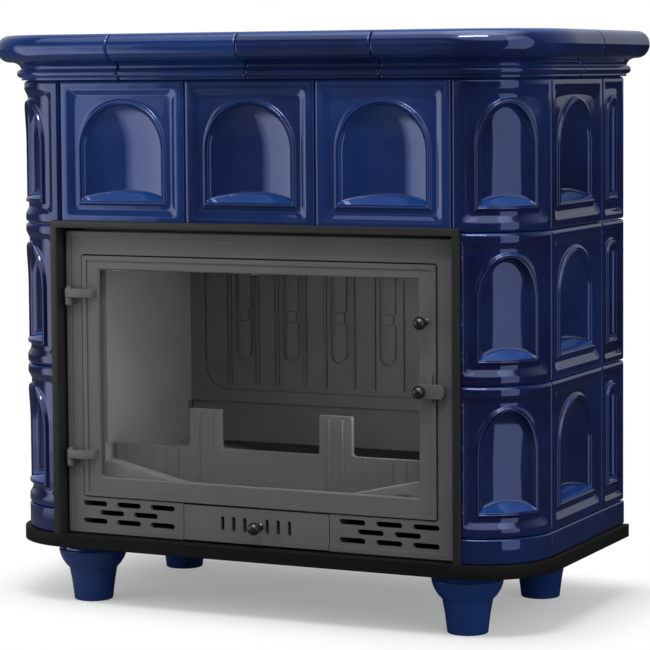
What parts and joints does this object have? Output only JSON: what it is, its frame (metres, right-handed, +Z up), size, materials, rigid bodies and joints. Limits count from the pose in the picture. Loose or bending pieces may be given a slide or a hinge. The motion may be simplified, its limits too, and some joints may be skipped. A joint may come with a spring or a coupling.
{
  "type": "tiled stove",
  "caption": "Free-standing tiled wood stove with relief tiles, round corners, a heavy crown, turned feet and a cast fire insert whose door, latch, ash drawer and air slider move.",
  "frame": {"origin": "on the floor under the middle of the whole outline", "axes": "+X to the right along the front, +Y from the front to the back, +Z up; the door is on the -Y side"},
  "size_m": [0.962, 0.472, 0.8875],
  "materials": {
    "glaze": "glossy cobalt glaze",
    "crown_glaze": "glossy cobalt glaze",
    "foot_glaze": "glossy cobalt glaze",
    "black_steel": "matt black paint",
    "surround_paint": "matt charcoal paint",
    "fascia_paint": "matt charcoal stove paint",
    "shell_steel": "matt heat-proof paint",
    "firebox_iron": "bare grey casting",
    "retainer_iron": "bare dark casting",
    "clear_glass": "clear heat-proof glass",
    "clip_steel": "plain spring steel",
    "seal_rope": "braided rope",
    "hinge_iron": "matt dark paint",
    "black_gloss": "glossy black heat-proof resin",
    "pan_steel": "plain sheet",
    "slider_steel": "black paint"
  },
  "bodies": {
    "stove": {"front_tile_left": "glaze", "front_tile_middle": "glaze", "front_tile_right": "glaze", "corner_tile_lower_left": "glaze", "side_tile_lower_left": "glaze", "narrow_tile_lower_left": "glaze", "corner_tile_lower_right": "glaze", "side_tile_lower_right": "glaze", "narrow_tile_lower_right": "glaze", "corner_tile_middle_left": "glaze", "side_tile_middle_left": "glaze", "narrow_tile_middle_left": "glaze", "corner_tile_middle_right": "glaze", "side_tile_middle_right": "glaze", "narrow_tile_middle_right": "glaze", "corner_tile_upper_left": "glaze", "side_tile_upper_left": "glaze", "narrow_tile_upper_left": "glaze", "corner_tile_upper_right": "glaze", "side_tile_upper_right": "glaze", "narrow_tile_upper_right": "glaze", "plinth_tiles_left": "glaze", "plinth_tiles_right": "glaze", "crown_front_left": "crown_glaze", "crown_front_right": "crown_glaze", "crown_corner_left": "crown_glaze", "crown_corner_right": "crown_glaze", "crown_side_left": "crown_glaze", "crown_side_right": "crown_glaze", "foot_front_left": "foot_glaze", "foot_front_right": "foot_glaze", "foot_rear_left": "foot_glaze", "foot_rear_right": "foot_glaze", "base_plate": "black_steel", "top_plate": "black_steel", "back_panel": "black_steel", "flue_collar": "black_steel", "insert_surround": "surround_paint", "fascia": "fascia_paint", "firebox_shell": "shell_steel", "shell_front": "shell_steel", "back_liner": "firebox_iron", "side_liner_left": "firebox_iron", "side_liner_right": "firebox_iron", "baffle": "firebox_iron", "hearth_plate": "firebox_iron", "grate": "firebox_iron", "log_retainer": "retainer_iron", "hinge_pins": "hinge_iron"},
    "door": {"door_frame": "fascia_paint", "door_glass": "clear_glass", "glass_clips": "clip_steel", "door_seal": "seal_rope", "hinge_arms": "hinge_iron", "pull_knob": "black_gloss"},
    "latch": {"latch_lever": "hinge_iron", "latch_knob": "black_gloss"},
    "ash_drawer": {"ash_drawer_front": "fascia_paint", "ash_pan": "pan_steel"},
    "air_slider": {"air_slider": "slider_steel"}
  },
  "joints": [
    {"name": "door_hinge", "type": "hinge", "parent": "stove", "child": "door", "pos_m": [-0.317, -0.189, 0.36], "axis": [0, 0, -1], "range_deg": [0, 105]},
    {"name": "latch_turn", "type": "hinge", "parent": "door", "child": "latch", "pos_m": [0.2785, -0.182, 0.3635], "axis": [0, -1, 0], "range_deg": [0, 80]},
    {"name": "drawer_slide", "type": "slide", "parent": "stove", "child": "ash_drawer", "axis": [0, -1, 0], "range_m": [0, 0.235]},
    {"name": "air_slide", "type": "slide", "parent": "ash_drawer", "child": "air_slider", "axis": [-1, 0, 0], "range_m": [0, 0.0094]}
  ]
}
